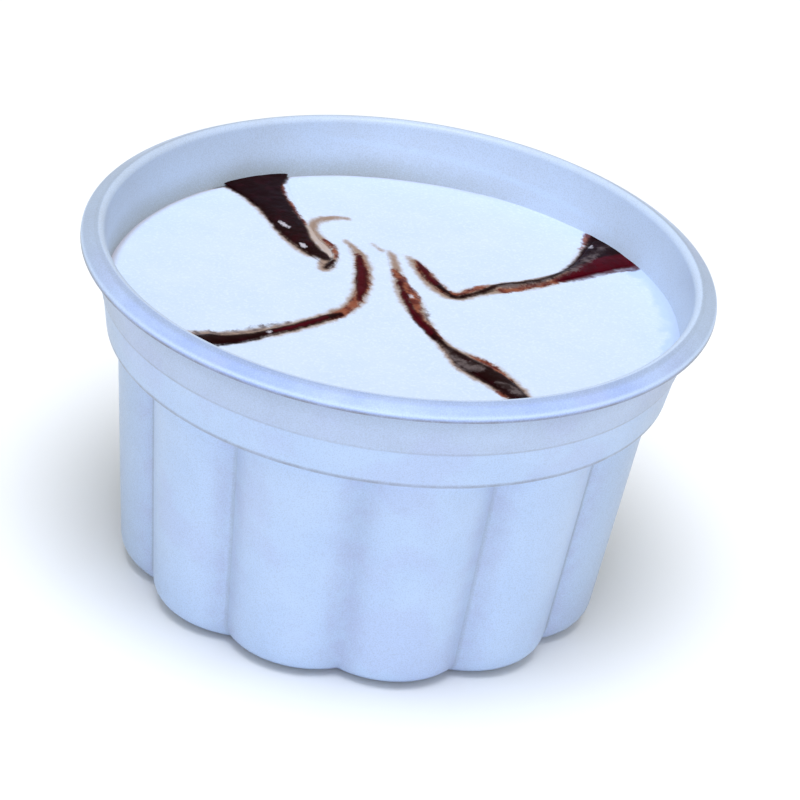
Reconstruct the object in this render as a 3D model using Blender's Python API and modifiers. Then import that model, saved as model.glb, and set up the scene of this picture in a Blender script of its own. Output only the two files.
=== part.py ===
"""Single-serve gelato in a fluted plastic cup, with chocolate rippled over its top.

Metres, +Z up. The origin is the centre of the cup's base, and a crease between two flutes faces -Y.
The cup is one thin shell. The gelato is one solid, with the ripple standing a little proud of it.
"""

import math

import bmesh
import bpy

# The cup's outside, measured where a flute stands out furthest.
RIM_RADIUS = 0.0475
HEIGHT = 0.0541
WALL = 0.0007

# The flange: a round crest about the mouth, falling outwards to a lip that turns straight down.
CREST_RADIUS = 0.04495
CREST_ROUND = 0.0003
FLANGE_SLOPE = 29.0
LIP_ROUND = 0.0002
LIP_EDGE_Z = 0.0519

# The plain collar: two bands, with a shallow ledge between them.
UPPER_BAND_RADIUS = 0.0437
LOWER_BAND_RADIUS = 0.04345
LEDGE_Z = 0.0446
LEDGE_HEIGHT = 0.0003
COLLAR_FOOT_RADIUS = 0.0424
COLLAR_FOOT_Z = 0.0386
STEP_ROUND = 0.0005

# The fluted body below the collar's step.
BODY_TOP_RADIUS = 0.04075
BODY_TOP_Z = 0.0377
BODY_FOOT_RADIUS = 0.0365
FOOT_ROUND = 0.0045
FLUTES = 12
CREASE_RATIO = 0.928

# The gelato and its ripple.
FILL_Z = 0.0450
GAP = 0.0003
RIPPLE_RISE = 0.0008
RIPPLE_EDGE_GAP = 0.0003
TRIM_DEPTH = 0.0064

# How finely the round shapes are cut.
STEPS_PER_FLUTE = 8
STEPS = FLUTES * STEPS_PER_FLUTE
FOOT_STEPS = 4
CREST_STEPS = 3
LIP_STEPS = 2
MERGE_DISTANCE = 0.00001
SMOOTH_ANGLE = math.radians(25)

# Plain colours for the two parts.
CUP_COLOUR = (0.60, 0.70, 0.94)
GELATO_COLOUR = (0.86, 0.92, 0.98)

# Each arm of the ripple, from its tip near the middle out to the wall: x, y and half its width.
RIPPLE_ARMS = {
    "back_left": (
        (-0.0109, 0.0072, 0.0006),
        (-0.0112, 0.0107, 0.0015),
        (-0.0137, 0.0148, 0.0025),
        (-0.0182, 0.0226, 0.0032),
        (-0.0212, 0.0282, 0.0037),
        (-0.0262, 0.0338, 0.0062),
        (-0.0280, 0.0362, 0.0072),
    ),
    "curl": (
        (-0.0142, 0.0200, 0.0006),
        (-0.0143, 0.0227, 0.0006),
        (-0.0127, 0.0253, 0.0006),
        (-0.0096, 0.0257, 0.0004),
    ),
    "front_left": (
        (-0.0094, 0.0187, 0.0005),
        (-0.0060, 0.0148, 0.0009),
        (-0.0048, 0.0066, 0.0010),
        (-0.0058, -0.0018, 0.0010),
        (-0.0122, -0.0101, 0.0010),
        (-0.0202, -0.0168, 0.0013),
        (-0.0275, -0.0222, 0.0022),
        (-0.0370, -0.0295, 0.0040),
    ),
    "front_right": (
        (-0.0024, 0.0172, 0.0005),
        (0.0004, 0.0074, 0.0010),
        (0.0046, -0.0034, 0.0011),
        (0.0101, -0.0121, 0.0015),
        (0.0142, -0.0158, 0.0021),
        (0.0196, -0.0214, 0.0020),
        (0.0290, -0.0360, 0.0030),
    ),
    "right": (
        (0.0017, 0.0166, 0.0005),
        (0.0045, 0.0112, 0.0009),
        (0.0085, 0.0064, 0.0013),
        (0.0138, 0.0098, 0.0013),
        (0.0224, 0.0158, 0.0016),
        (0.0272, 0.0222, 0.0032),
        (0.0330, 0.0300, 0.0068),
    ),
}


def clear_scene():
    for thing in list(bpy.data.objects):
        bpy.data.objects.remove(thing, do_unlink=True)


def make_collection(name):
    collection = bpy.data.collections.new(name)
    bpy.context.scene.collection.children.link(collection)
    return collection


def make_material(name, colour, roughness):
    material = bpy.data.materials.new(name)
    material.use_nodes = True
    shader = material.node_tree.nodes["Principled BSDF"]
    shader.inputs["Base Color"].default_value = (*colour, 1.0)
    shader.inputs["Roughness"].default_value = roughness
    shader.inputs["Metallic"].default_value = 0.0
    return material


def arc(centre, radius, start, end, count):
    """Points along an arc in the (radius, height) plane, with both ends."""
    points = []
    for index in range(count + 1):
        angle = math.radians(start + (end - start) * index / count)
        points.append((centre[0] + radius * math.cos(angle), centre[1] + radius * math.sin(angle)))
    return points


def wall_lean():
    """Tangent of the collar wall's lean outwards, from the ledge up to the crest."""
    crest_z = HEIGHT - WALL - CREST_ROUND
    return (CREST_RADIUS - CREST_ROUND - UPPER_BAND_RADIUS) / (crest_z - LEDGE_Z)


def flange_profile():
    """Underside of the flange, from the lip's edge up over the crest and down to the top of the collar."""
    slope = math.radians(FLANGE_SLOPE)
    crest_z = HEIGHT - WALL - CREST_ROUND
    lip_radius = RIM_RADIUS - WALL - LIP_ROUND
    fall = ((lip_radius - CREST_RADIUS) * math.sin(slope) + LIP_ROUND - CREST_ROUND) / math.cos(slope)
    lip = arc((lip_radius, crest_z - fall), LIP_ROUND, 0, 90 - FLANGE_SLOPE, LIP_STEPS)
    lean = math.degrees(math.atan(wall_lean()))
    crest = arc((CREST_RADIUS, crest_z), CREST_ROUND, 90 - FLANGE_SLOPE, 180 - lean, CREST_STEPS)
    return [(RIM_RADIUS - WALL, LIP_EDGE_Z), *lip, *crest]


def collar_profile():
    """Outside of the two bands, from the ledge down to the step."""
    return [
        (UPPER_BAND_RADIUS, LEDGE_Z),
        (LOWER_BAND_RADIUS, LEDGE_Z - LEDGE_HEIGHT),
        (COLLAR_FOOT_RADIUS, COLLAR_FOOT_Z),
        (COLLAR_FOOT_RADIUS - STEP_ROUND, COLLAR_FOOT_Z - STEP_ROUND),
    ]


def body_profile():
    """Outside of a flute, from under the step to the middle of the base."""
    draft = math.atan2(BODY_TOP_RADIUS - BODY_FOOT_RADIUS, BODY_TOP_Z)
    corner = BODY_FOOT_RADIUS - FOOT_ROUND * math.tan((math.pi / 2 - draft) / 2)
    foot = arc((corner, FOOT_ROUND), FOOT_ROUND, -math.degrees(draft), -90, FOOT_STEPS)
    return [(BODY_TOP_RADIUS, BODY_TOP_Z), *foot, (0.0, 0.0)]


def inset_profile(profile, depth):
    """The same profile moved in square to each of its stretches."""
    moved = []
    for index, (radius, height) in enumerate(profile):
        before = profile[max(index - 1, 0)]
        after = profile[min(index + 1, len(profile) - 1)]
        normals = []
        for start, end in ((before, (radius, height)), ((radius, height), after)):
            length = math.hypot(end[0] - start[0], end[1] - start[1])
            if length > 0:
                normals.append(((end[1] - start[1]) / length, (start[0] - end[0]) / length))
        across = sum(normal[0] for normal in normals)
        up = sum(normal[1] for normal in normals)
        scale = depth / (across * normals[0][0] + up * normals[0][1])
        moved.append((max(radius + across * scale, 0.0), height + up * scale))
    return moved


def flute_radius(crown, angle, inset):
    """Distance from the axis to a flute's face, for the crown radius of its outside.

    Each flute is an arc in plan, so a face moved in by the wall's thickness is an arc about the same centre.
    """
    half = math.pi / FLUTES
    crease = CREASE_RATIO * crown
    centre = (crown**2 - crease**2) / (2 * (crown - crease * math.cos(half)))
    offset = angle % (2 * half) - half
    reach = crown - centre - inset
    return centre * math.cos(offset) + math.sqrt(reach**2 - (centre * math.sin(offset)) ** 2)


def turned_object(name, profile, collection):
    """An open profile turned about the axis, with its steps counted from a crease."""
    mesh = bpy.data.meshes.new(name)
    points = [(radius, 0.0, height) for radius, height in profile]
    mesh.from_pydata(points, [(index, index + 1) for index in range(len(points) - 1)], [])
    turned = bpy.data.objects.new(name, mesh)
    collection.objects.link(turned)
    screw = turned.modifiers.new("turn", "SCREW")
    screw.axis = "Z"
    screw.steps = STEPS
    screw.render_steps = STEPS
    screw.use_merge_vertices = True
    screw.merge_threshold = MERGE_DISTANCE
    return turned


def apply_modifiers(target):
    """Replace the object's mesh with its evaluated one."""
    bpy.context.view_layer.update()
    evaluated = target.evaluated_get(bpy.context.evaluated_depsgraph_get())
    mesh = bpy.data.meshes.new_from_object(evaluated)
    target.modifiers.clear()
    old = target.data
    target.data = mesh
    if isinstance(old, bpy.types.Mesh):
        bpy.data.meshes.remove(old)


def press_flutes(target, top, inset):
    """Draw every point below top in to the flutes' plan, keeping the base flat."""
    for vertex in target.data.vertices:
        across = math.hypot(vertex.co.x, vertex.co.y)
        if vertex.co.z > top or across < GAP:
            continue
        crown = across + inset
        scale = flute_radius(crown, math.atan2(vertex.co.y, vertex.co.x), inset) / across
        vertex.co.x *= scale
        vertex.co.y *= scale


def shade(target, material):
    target.data.materials.clear()
    target.data.materials.append(material)
    target.data.shade_smooth()
    target.data.set_sharp_from_angle(angle=SMOOTH_ANGLE)


def make_cup(collection):
    profile = flange_profile() + collar_profile() + body_profile()
    cup = turned_object("cup", profile, collection)
    apply_modifiers(cup)
    press_flutes(cup, BODY_TOP_Z + GAP, 0.0)
    wall = cup.modifiers.new("wall", "SOLIDIFY")
    wall.thickness = WALL
    wall.offset = -1.0
    wall.use_even_offset = True
    apply_modifiers(cup)
    shade(cup, make_material("cup_plastic", CUP_COLOUR, 0.35))
    return cup


def fill_profile():
    """The inside of the wall at a flute's crown, less the gap, closed across the top."""
    inside = inset_profile(collar_profile() + body_profile(), WALL + GAP)
    brim = UPPER_BAND_RADIUS - WALL - GAP + wall_lean() * (FILL_Z - LEDGE_Z)
    return [(0.0, FILL_Z), (brim, FILL_Z), *inside[1:]]


def make_ripple_arm(name, route, collection):
    """A ribbon of chocolate: a round cord levelled to one height over the gelato."""
    curve = bpy.data.curves.new(name, "CURVE")
    curve.dimensions = "3D"
    curve.bevel_depth = 1.0
    curve.bevel_resolution = 2
    curve.resolution_u = 3
    curve.use_fill_caps = True
    spline = curve.splines.new("BEZIER")
    spline.bezier_points.add(len(route) - 1)
    for point, (x, y, half_width) in zip(spline.bezier_points, route):
        point.co = (x, y, 0.0)
        point.radius = half_width
        point.handle_left_type = "AUTO"
        point.handle_right_type = "AUTO"
    cord = bpy.data.objects.new(name, curve)
    collection.objects.link(cord)
    bpy.context.view_layer.update()
    evaluated = cord.evaluated_get(bpy.context.evaluated_depsgraph_get())
    mesh = bpy.data.meshes.new_from_object(evaluated)
    bpy.data.objects.remove(cord, do_unlink=True)
    bpy.data.curves.remove(curve)
    for vertex in mesh.vertices:
        vertex.co.z = FILL_Z + RIPPLE_RISE * math.tanh(vertex.co.z / RIPPLE_RISE)
    form = bmesh.new()
    form.from_mesh(mesh)
    bmesh.ops.remove_doubles(form, verts=form.verts, dist=MERGE_DISTANCE)
    bmesh.ops.recalc_face_normals(form, faces=form.faces)
    form.to_mesh(mesh)
    form.free()
    arm = bpy.data.objects.new(name, mesh)
    collection.objects.link(arm)
    return arm


def make_brim_cutter(brim, collection):
    """A short drum that trims the ripple's arms just inside the gelato's edge."""
    mesh = bpy.data.meshes.new("brim_cutter")
    form = bmesh.new()
    bmesh.ops.create_cone(
        form,
        cap_ends=True,
        segments=STEPS,
        radius1=brim,
        radius2=brim,
        depth=TRIM_DEPTH,
    )
    form.to_mesh(mesh)
    form.free()
    drum = bpy.data.objects.new("brim_cutter", mesh)
    drum.location.z = FILL_Z
    drum.hide_render = True
    drum.display_type = "WIRE"
    collection.objects.link(drum)
    return drum


def make_gelato(collection, cutters):
    profile = fill_profile()
    gelato = turned_object("gelato", profile, collection)
    apply_modifiers(gelato)
    press_flutes(gelato, BODY_TOP_Z + 2 * WALL, WALL + GAP)

    ripple = bpy.data.collections.new("ripple")
    bpy.context.scene.collection.children.link(ripple)
    drum = make_brim_cutter(profile[1][0] - RIPPLE_EDGE_GAP, cutters)
    for name, route in RIPPLE_ARMS.items():
        arm = make_ripple_arm(name, route, ripple)
        trim = arm.modifiers.new("trim", "BOOLEAN")
        trim.operation = "INTERSECT"
        trim.solver = "EXACT"
        trim.object = drum
        apply_modifiers(arm)

    join = gelato.modifiers.new("join", "BOOLEAN")
    join.operation = "UNION"
    join.solver = "EXACT"
    join.operand_type = "COLLECTION"
    join.collection = ripple
    apply_modifiers(gelato)
    for arm in list(ripple.objects):
        bpy.data.objects.remove(arm, do_unlink=True)
    bpy.data.collections.remove(ripple)
    shade(gelato, make_material("gelato", GELATO_COLOUR, 0.55))
    return gelato


def main():
    clear_scene()
    collection = make_collection("gelato_cup")
    cutters = make_collection("cutters")
    make_cup(collection)
    make_gelato(collection, cutters)


main()
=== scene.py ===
import math

import bmesh
import bpy
import numpy as np
from mathutils import Euler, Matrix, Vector


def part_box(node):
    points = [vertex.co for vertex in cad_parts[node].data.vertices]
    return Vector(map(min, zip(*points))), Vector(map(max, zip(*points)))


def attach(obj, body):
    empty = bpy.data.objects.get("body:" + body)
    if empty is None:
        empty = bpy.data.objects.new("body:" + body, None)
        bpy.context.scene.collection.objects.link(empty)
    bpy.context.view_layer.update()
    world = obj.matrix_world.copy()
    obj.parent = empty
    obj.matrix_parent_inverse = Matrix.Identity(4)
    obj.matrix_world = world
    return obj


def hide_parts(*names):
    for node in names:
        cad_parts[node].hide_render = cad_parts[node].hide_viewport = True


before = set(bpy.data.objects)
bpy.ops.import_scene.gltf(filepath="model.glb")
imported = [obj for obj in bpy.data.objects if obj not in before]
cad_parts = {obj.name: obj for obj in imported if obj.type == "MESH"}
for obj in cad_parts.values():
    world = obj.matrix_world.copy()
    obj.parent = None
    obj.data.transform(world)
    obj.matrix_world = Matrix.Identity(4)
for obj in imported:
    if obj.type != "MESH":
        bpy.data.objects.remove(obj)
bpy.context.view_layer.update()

# The cup's outside, in metres, where a flute stands out furthest.
RIM_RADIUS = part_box("cup")[1][0]
HEIGHT = 0.0541
WALL = 0.0007
CREST_RADIUS = 0.04495
CREST_ROUND = 0.0003
FLANGE_SLOPE = 29.0
LIP_ROUND = 0.0002
LIP_EDGE_Z = 0.0519
LIP_EDGE_ROUND = 0.0002
UPPER_BAND_RADIUS = 0.0437
LOWER_BAND_RADIUS = 0.04345
LEDGE_Z = 0.0446
LEDGE_HEIGHT = 0.0003
COLLAR_FOOT_RADIUS = 0.0424
COLLAR_FOOT_Z = 0.0386
STEP_ROUND = 0.0005
BODY_TOP_RADIUS = 0.04075
BODY_TOP_Z = 0.0377
BODY_FOOT_RADIUS = 0.0365
FOOT_ROUND = 0.0045
FLUTES = 12
CREASE_RATIO = 0.928
CREASE_ROUND = 0.0003

# How finely the cup is cut, and how sharp a fold must be to be rounded.
FLUTE_STEPS = 16
FOOT_STEPS = 7
STEP_STEPS = 4
CREST_STEPS = 7
LIP_STEPS = 4
BEVEL_STEPS = 3
BASE_RINGS = (0.7, 0.35, 0.1)
SOFT_ANGLE = math.radians(35)
LIP_ANGLE = math.radians(60)

# Points nearer than this are taken as one; those of the turned gelato lie closer together.
CLOSE = 0.00001
TURNED_CLOSE = 0.000005

# The gelato fills the cup to a little under its rim.
FILL_Z = 0.0450
BRIM_RADIUS = 0.0430
BRIM_BITE = 0.0003
BRIM_INSETS = (0.0014, 0.0010, 0.0006)
FLAT_INSET = 0.0013
TOP_MARGIN = 0.0001
FILL_STEPS = 480
FILL_RINGS = 140
FILL_WAVE = 0.0003
FILL_WAVE_SIZE = 0.012
FILL_SOFT_ANGLE = math.radians(40)

# Its brim sinks on one side of the cup and climbs on the other, each side given as right and back.
BRIM_REACH = 0.0012
BRIM_SAG = 0.0005
BRIM_CLIMB = 0.0004
SAG_SIDE = (-1.0, 0.6)
CLIMB_SIDE = (1.0, -0.4)
SIDE_BLUR = 0.3
TOP_DEPTH = 0.001

# How the chocolate's raised arms are built, in metres.
RIPPLE_RISE = 0.00032
RIPPLE_LEAST_RISE = 0.3
RIPPLE_STEP = 0.0012
RIPPLE_SIDES = 14
RIPPLE_SMOOTHING = 2
LUMP_SIZE = 0.0022
LUMP_HEIGHT = 0.00012
DRUM_HEIGHT = 0.01
MM = 0.001

# The arms in millimetres, from their tips near the middle out to the wall: x, y, half the width, and how
# full the arm stands, from its least height at 0 to its full height at 1.
ARMS = {
    "ripple_back_left": (
        (-11.1, 9.4, 0.5, 0.5),
        (-12.0, 11.7, 1.2, 0.7),
        (-13.8, 14.3, 1.9, 0.9),
        (-16.2, 18.0, 2.7, 1.0),
        (-18.6, 22.6, 2.8, 1.0),
        (-20.8, 27.2, 3.2, 1.0),
        (-22.8, 30.9, 4.3, 1.0),
        (-24.8, 34.2, 5.5, 1.0),
        (-26.2, 36.8, 7.4, 1.0),
    ),
    "ripple_curl": (
        (-9.6, 25.8, 0.25, 0.3),
        (-11.4, 25.7, 0.35, 0.35),
        (-13.2, 24.4, 0.4, 0.35),
        (-14.1, 22.0, 0.4, 0.4),
        (-13.6, 19.2, 0.45, 0.4),
        (-12.3, 17.2, 0.55, 0.4),
        (-10.9, 15.8, 0.6, 0.45),
        (-10.0, 13.3, 0.5, 0.45),
        (-10.2, 10.4, 0.6, 0.6),
        (-11.0, 8.3, 0.5, 0.5),
    ),
    "ripple_front_left": (
        (-8.2, 17.4, 0.3, 0.1),
        (-6.4, 14.2, 0.8, 0.3),
        (-5.5, 10.6, 1.0, 0.55),
        (-5.1, 6.2, 1.1, 0.8),
        (-5.1, 2.2, 1.0, 0.7),
        (-5.9, -1.6, 0.8, 0.4),
        (-8.0, -5.9, 0.8, 0.6),
        (-11.8, -9.8, 0.8, 0.8),
        (-16.2, -14.0, 0.9, 0.9),
        (-20.2, -17.2, 1.2, 1.0),
        (-24.6, -19.4, 1.8, 1.0),
        (-30.0, -23.4, 2.6, 1.0),
        (-37.0, -29.0, 3.6, 1.0),
    ),
    "ripple_front_right": (
        (-2.1, 15.6, 0.3, 0.1),
        (-1.2, 12.2, 0.6, 0.25),
        (0.2, 8.2, 0.8, 0.5),
        (1.8, 3.9, 1.2, 0.7),
        (3.2, 0.2, 1.2, 0.65),
        (4.9, -4.0, 0.8, 0.7),
        (7.2, -8.3, 0.7, 1.0),
        (9.4, -11.6, 1.0, 0.9),
        (12.0, -14.5, 1.8, 0.8),
        (15.2, -16.8, 1.9, 0.9),
        (18.1, -20.1, 1.7, 1.0),
        (21.0, -24.2, 1.7, 1.0),
        (29.0, -36.6, 2.6, 1.0),
    ),
    "ripple_right": (
        (2.0, 15.2, 0.3, 0.2),
        (3.5, 12.4, 0.7, 0.7),
        (5.0, 9.5, 0.8, 0.8),
        (6.8, 6.9, 0.7, 0.6),
        (8.7, 5.7, 0.6, 0.4),
        (10.9, 7.0, 0.8, 0.5),
        (14.0, 10.0, 0.9, 0.7),
        (18.3, 12.9, 0.9, 0.8),
        (22.6, 16.0, 1.0, 0.9),
        (26.0, 19.2, 1.3, 1.0),
        (28.8, 23.0, 2.5, 1.0),
        (31.2, 26.6, 4.0, 1.0),
        (34.2, 30.6, 6.0, 1.0),
    ),
}

# The colours in the ripple lie over each other in bands, in millimetres: x, y and half the width. Each band
# is followed in short steps, and past a distance a point counts as far from it.
BAND_STEP = 0.8
BAND_FAR = 9.0
FILM = (
    ((-9.4, 25.7, 0.4), (-11.4, 25.3, 0.6), (-13.5, 24.0, 0.9), (-14.5, 22.0, 0.9), (-14.1, 19.5, 0.9),
     (-12.5, 17.2, 0.9), (-11.1, 15.7, 0.9), (-10.2, 13.4, 0.6), (-10.2, 10.8, 0.6), (-11.2, 8.2, 1.1)),
    ((-26.8, 37.2, 7.0), (-25.4, 33.8, 5.1), (-23.7, 30.8, 3.9), (-21.5, 27.0, 3.2), (-19.8, 23.8, 2.9),
     (-17.8, 20.2, 2.9), (-16.1, 16.7, 2.5), (-14.8, 14.5, 2.1), (-13.2, 12.7, 1.6), (-11.6, 11.4, 1.2),
     (-11.4, 8.9, 1.0)),
    ((-30.0, 30.7, 0.35), (-31.2, 29.5, 0.25), (-32.6, 28.4, 0.15)),
    ((-9.1, 18.5, 0.2), (-7.6, 16.2, 0.7), (-6.3, 13.6, 1.2), (-5.5, 9.6, 1.4), (-5.2, 5.4, 1.5),
     (-5.3, 1.4, 1.4), (-6.1, -2.2, 1.3), (-8.2, -6.1, 1.4), (-12.4, -10.6, 1.4), (-18.0, -15.2, 1.6),
     (-22.8, -18.2, 1.9), (-28.0, -20.3, 2.3)),
    ((-4.9, 18.7, 0.15), (-4.2, 17.7, 0.25), (-3.2, 16.9, 0.3)),
    ((-2.2, 17.0, 0.3), (-1.4, 15.0, 0.7), (-0.4, 10.2, 0.9), (0.6, 6.4, 1.3), (2.0, 2.9, 1.7),
     (3.2, -0.3, 1.6), (4.8, -4.2, 1.1), (7.1, -8.6, 1.0), (9.4, -11.9, 1.4), (11.6, -14.2, 2.5),
     (14.1, -16.2, 3.1), (17.0, -19.0, 2.7), (19.9, -22.4, 2.2), (23.5, -28.3, 2.2)),
    ((0.3, 16.4, 0.2), (1.7, 15.0, 0.8), (3.2, 12.4, 1.3), (5.2, 8.6, 1.4), (7.5, 5.9, 1.4),
     (9.6, 6.0, 1.4), (12.4, 8.5, 1.4), (16.4, 11.0, 1.6), (20.4, 13.4, 1.4), (24.2, 17.0, 1.3),
     (26.9, 21.2, 1.7), (29.6, 25.4, 3.2), (32.6, 28.8, 5.4)),
)
RUST = (
    ((-12.3, 17.2, 0.3), (-11.0, 16.0, 0.5), (-10.2, 13.8, 0.35), (-9.9, 11.9, 0.2)),
    ((-20.6, 36.4, 0.3), (-20.8, 33.6, 0.4), (-19.5, 29.6, 0.4), (-17.4, 24.6, 0.4), (-15.5, 21.4, 0.3)),
    ((27.9, 32.4, 0.9), (27.4, 30.0, 0.6), (26.9, 28.0, 0.3)),
    ((-9.6, -7.8, 0.7), (-7.6, -5.9, 0.9), (-6.3, -3.2, 0.7), (-5.3, 0.6, 0.7), (-5.0, 5.0, 0.9),
     (-5.6, 9.0, 0.8), (-6.2, 12.2, 0.65), (-6.9, 14.2, 0.35)),
    ((-0.9, 10.7, 0.45), (0.2, 8.5, 0.8), (1.4, 5.8, 1.0), (2.5, 2.8, 1.2), (3.3, 0.2, 0.8),
     (4.0, -3.2, 0.6), (6.4, -7.2, 0.6), (7.9, -9.3, 0.4)),
    ((12.6, -12.8, 0.4), (14.4, -13.8, 0.8), (16.3, -15.6, 0.8), (18.2, -18.2, 0.6), (19.3, -19.8, 0.3)),
    ((17.1, -21.8, 0.4), (18.0, -22.8, 0.55), (18.8, -23.3, 0.4)),
    ((2.3, 14.9, 0.4), (3.4, 12.4, 0.8), (5.4, 9.0, 0.8), (7.6, 6.3, 0.7), (9.6, 6.4, 0.6),
     (12.3, 9.4, 0.7), (13.2, 10.2, 0.45)),
    ((15.2, 9.8, 0.4), (16.8, 10.1, 0.75), (19.4, 12.0, 0.5), (22.8, 14.8, 0.5), (25.6, 18.1, 0.75)),
)
DARK = (
    ((-26.6, 37.2, 6.9), (-25.4, 33.8, 4.9), (-23.8, 30.8, 3.6), (-21.4, 27.0, 2.8), (-19.8, 23.8, 2.5),
     (-17.9, 20.2, 2.5), (-16.2, 16.8, 1.9), (-14.8, 14.6, 1.5), (-13.1, 12.7, 1.2), (-11.5, 11.4, 1.0)),
    ((-27.0, 33.0, 1.4), (-29.4, 31.2, 0.7), (-30.8, 30.0, 0.4)),
    ((-11.0, 8.5, 0.55), (-10.5, 9.8, 0.6), (-10.2, 10.7, 0.35)),
    ((-37.0, -29.0, 3.6), (-30.0, -23.4, 2.5), (-26.1, -20.3, 1.9), (-23.2, -19.4, 1.2), (-19.8, -17.4, 0.9),
     (-16.4, -14.5, 0.7), (-12.4, -10.8, 0.7), (-9.4, -7.7, 0.7), (-7.4, -6.0, 0.5)),
    ((-6.6, 13.6, 0.25), (-6.0, 10.6, 0.6), (-5.5, 6.4, 0.85), (-5.2, 2.9, 0.7), (-5.2, -0.6, 0.35)),
    ((0.1, 7.3, 0.3), (1.1, 3.8, 0.4), (2.2, 0.5, 0.45), (4.2, -4.4, 0.6), (6.2, -7.5, 0.7),
     (8.5, -10.9, 0.5), (9.8, -12.5, 0.8), (12.0, -15.0, 1.7), (14.8, -17.4, 2.0), (17.7, -19.8, 1.9),
     (20.6, -23.6, 1.6), (27.6, -35.2, 2.0)),
    ((2.6, 14.3, 0.3), (3.7, 12.0, 0.55), (4.5, 9.9, 0.4), (5.7, 8.4, 0.75), (7.0, 6.8, 0.5),
     (9.0, 5.2, 0.4), (12.4, 7.8, 0.45), (15.0, 10.9, 0.5), (18.2, 12.8, 0.4), (21.8, 15.2, 0.45),
     (24.6, 19.0, 0.5), (26.6, 23.6, 0.5), (28.0, 29.2, 0.6), (28.8, 32.6, 0.6)),
    ((25.4, 19.2, 0.5), (27.2, 22.2, 1.3), (29.4, 26.0, 2.6), (32.6, 29.8, 4.4)),
    ((29.0, 32.0, 0.8), (32.0, 29.0, 0.8), (34.4, 26.0, 0.6)),
    ((24.2, 15.9, 0.2), (26.2, 18.3, 0.9), (28.6, 21.2, 1.5), (31.0, 23.8, 1.9), (33.8, 25.8, 2.2),
     (36.8, 27.6, 2.6)),
)
WINE = (
    ((24.2, 15.7, 0.5), (26.2, 18.0, 1.3), (28.6, 20.7, 1.9), (31.0, 23.2, 2.3), (33.8, 25.0, 2.6),
     (36.8, 26.6, 3.0)),
    ((-6.6, 13.6, 0.2), (-6.0, 10.6, 0.5), (-5.5, 6.4, 0.75), (-5.2, 2.9, 0.6), (-5.2, -0.6, 0.3)),
    ((-9.4, -7.7, 0.4), (-12.4, -10.8, 0.4), (-16.4, -14.5, 0.25)),
    ((0.1, 7.3, 0.25), (1.1, 3.8, 0.4), (2.2, 0.5, 0.4), (4.2, -4.4, 0.5), (6.2, -7.5, 0.45)),
    ((2.6, 14.3, 0.3), (3.7, 12.0, 0.55), (4.5, 9.9, 0.4), (5.7, 8.4, 0.6)),
)
# Painted reflection: grey-brown sheen on the wet chocolate.
SHEEN = (
    ((-27.5, -18.4, 0.8), (-24.1, -17.5, 0.8), (-20.0, -14.9, 0.8), (-16.1, -11.9, 0.6),
     (-14.5, -10.8, 0.35)),
    ((4.4, 0.2, 0.3), (4.9, -1.8, 0.5), (5.3, -3.8, 0.3)),
    ((9.0, -11.9, 0.5), (10.5, -14.8, 0.9), (12.1, -16.0, 1.3), (13.6, -16.2, 1.1)),
    ((17.1, -19.8, 0.4), (18.6, -20.8, 1.0), (20.4, -22.0, 0.8)),
    ((15.3, 10.6, 0.4), (20.0, 13.2, 0.4), (24.6, 17.8, 0.4), (27.2, 22.0, 0.6), (29.2, 26.4, 0.7),
     (30.6, 29.4, 0.5)),
)
CREAM = (
    ((-15.1, 20.9, 0.4), (-14.3, 18.6, 0.5), (-13.0, 16.2, 0.6), (-11.8, 14.3, 0.6), (-10.8, 12.3, 0.4)),
)
# Painted highlights: small white glints on the chocolate.
GLINTS = (
    ((-19.6, 20.9, 0.2), (-18.7, 20.0, 0.35), (-17.9, 19.3, 0.25)),
    ((-15.6, 14.6, 0.2), (-15.0, 14.0, 0.3)),
    ((-17.3, -15.2, 0.25), (-17.0, -15.0, 0.2)),
    ((2.3, 3.3, 0.25), (2.5, 2.6, 0.3)),
    ((28.2, 28.5, 0.25), (28.4, 29.0, 0.25)),
)

# The camera stands where the photograph was taken, above the front, and leans a little to one side.
CAMERA_PLACE = Vector((0.01169, -0.59484, 0.35525))
CAMERA_TURN = Euler((math.radians(61.007), math.radians(-7.316), math.radians(4.876)), "XYZ")
CAMERA_LENS = 202.5
SENSOR = 36.0


# Ways of modelling


def deselect_all():
    if bpy.context.object and bpy.context.object.mode != "OBJECT":
        bpy.ops.object.mode_set(mode="OBJECT")
    bpy.ops.object.select_all(action="DESELECT")


def name_piece(name):
    piece = bpy.context.object
    piece.name = name
    piece.data.name = name
    return piece


def pick(kind, test):
    """Select the vertices, edges or faces of the edited mesh that pass the test, and nothing else."""
    bpy.ops.mesh.select_mode(type=kind)
    bpy.ops.mesh.select_all(action="DESELECT")
    mesh = bpy.context.object.data
    form = bmesh.from_edit_mesh(mesh)
    parts = {"VERT": form.verts, "EDGE": form.edges, "FACE": form.faces}[kind]
    for part in parts:
        if test(part):
            part.select_set(True)
    form.select_flush_mode()
    bmesh.update_edit_mesh(mesh)


def draw_rings(start, rings):
    """Extrude the selected ring through the others, each a radius and a height."""
    radius, height = start
    for next_radius, next_height in rings:
        bpy.ops.mesh.extrude_region_move(TRANSFORM_OT_translate={"value": (0, 0, next_height - height)})
        scale = next_radius / radius
        bpy.ops.transform.resize(value=(scale, scale, 1), center_override=(0, 0, next_height))
        radius, height = next_radius, next_height


def arc(centre, radius, start, end, count):
    """Points along an arc in the (radius, height) plane, with both ends."""
    points = []
    for index in range(count + 1):
        angle = math.radians(start + (end - start) * index / count)
        points.append((centre[0] + radius * math.cos(angle), centre[1] + radius * math.sin(angle)))
    return points


def flute_scale(angle):
    """How far in a point of a flute lies, as a share of the crown's radius, for its angle from the crown."""
    half = math.pi / FLUTES
    centre = (1 - CREASE_RATIO**2) / (2 * (1 - CREASE_RATIO * math.cos(half)))
    reach = 1 - centre
    return centre * math.cos(angle) + math.sqrt(reach**2 - (centre * math.sin(angle)) ** 2)


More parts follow.
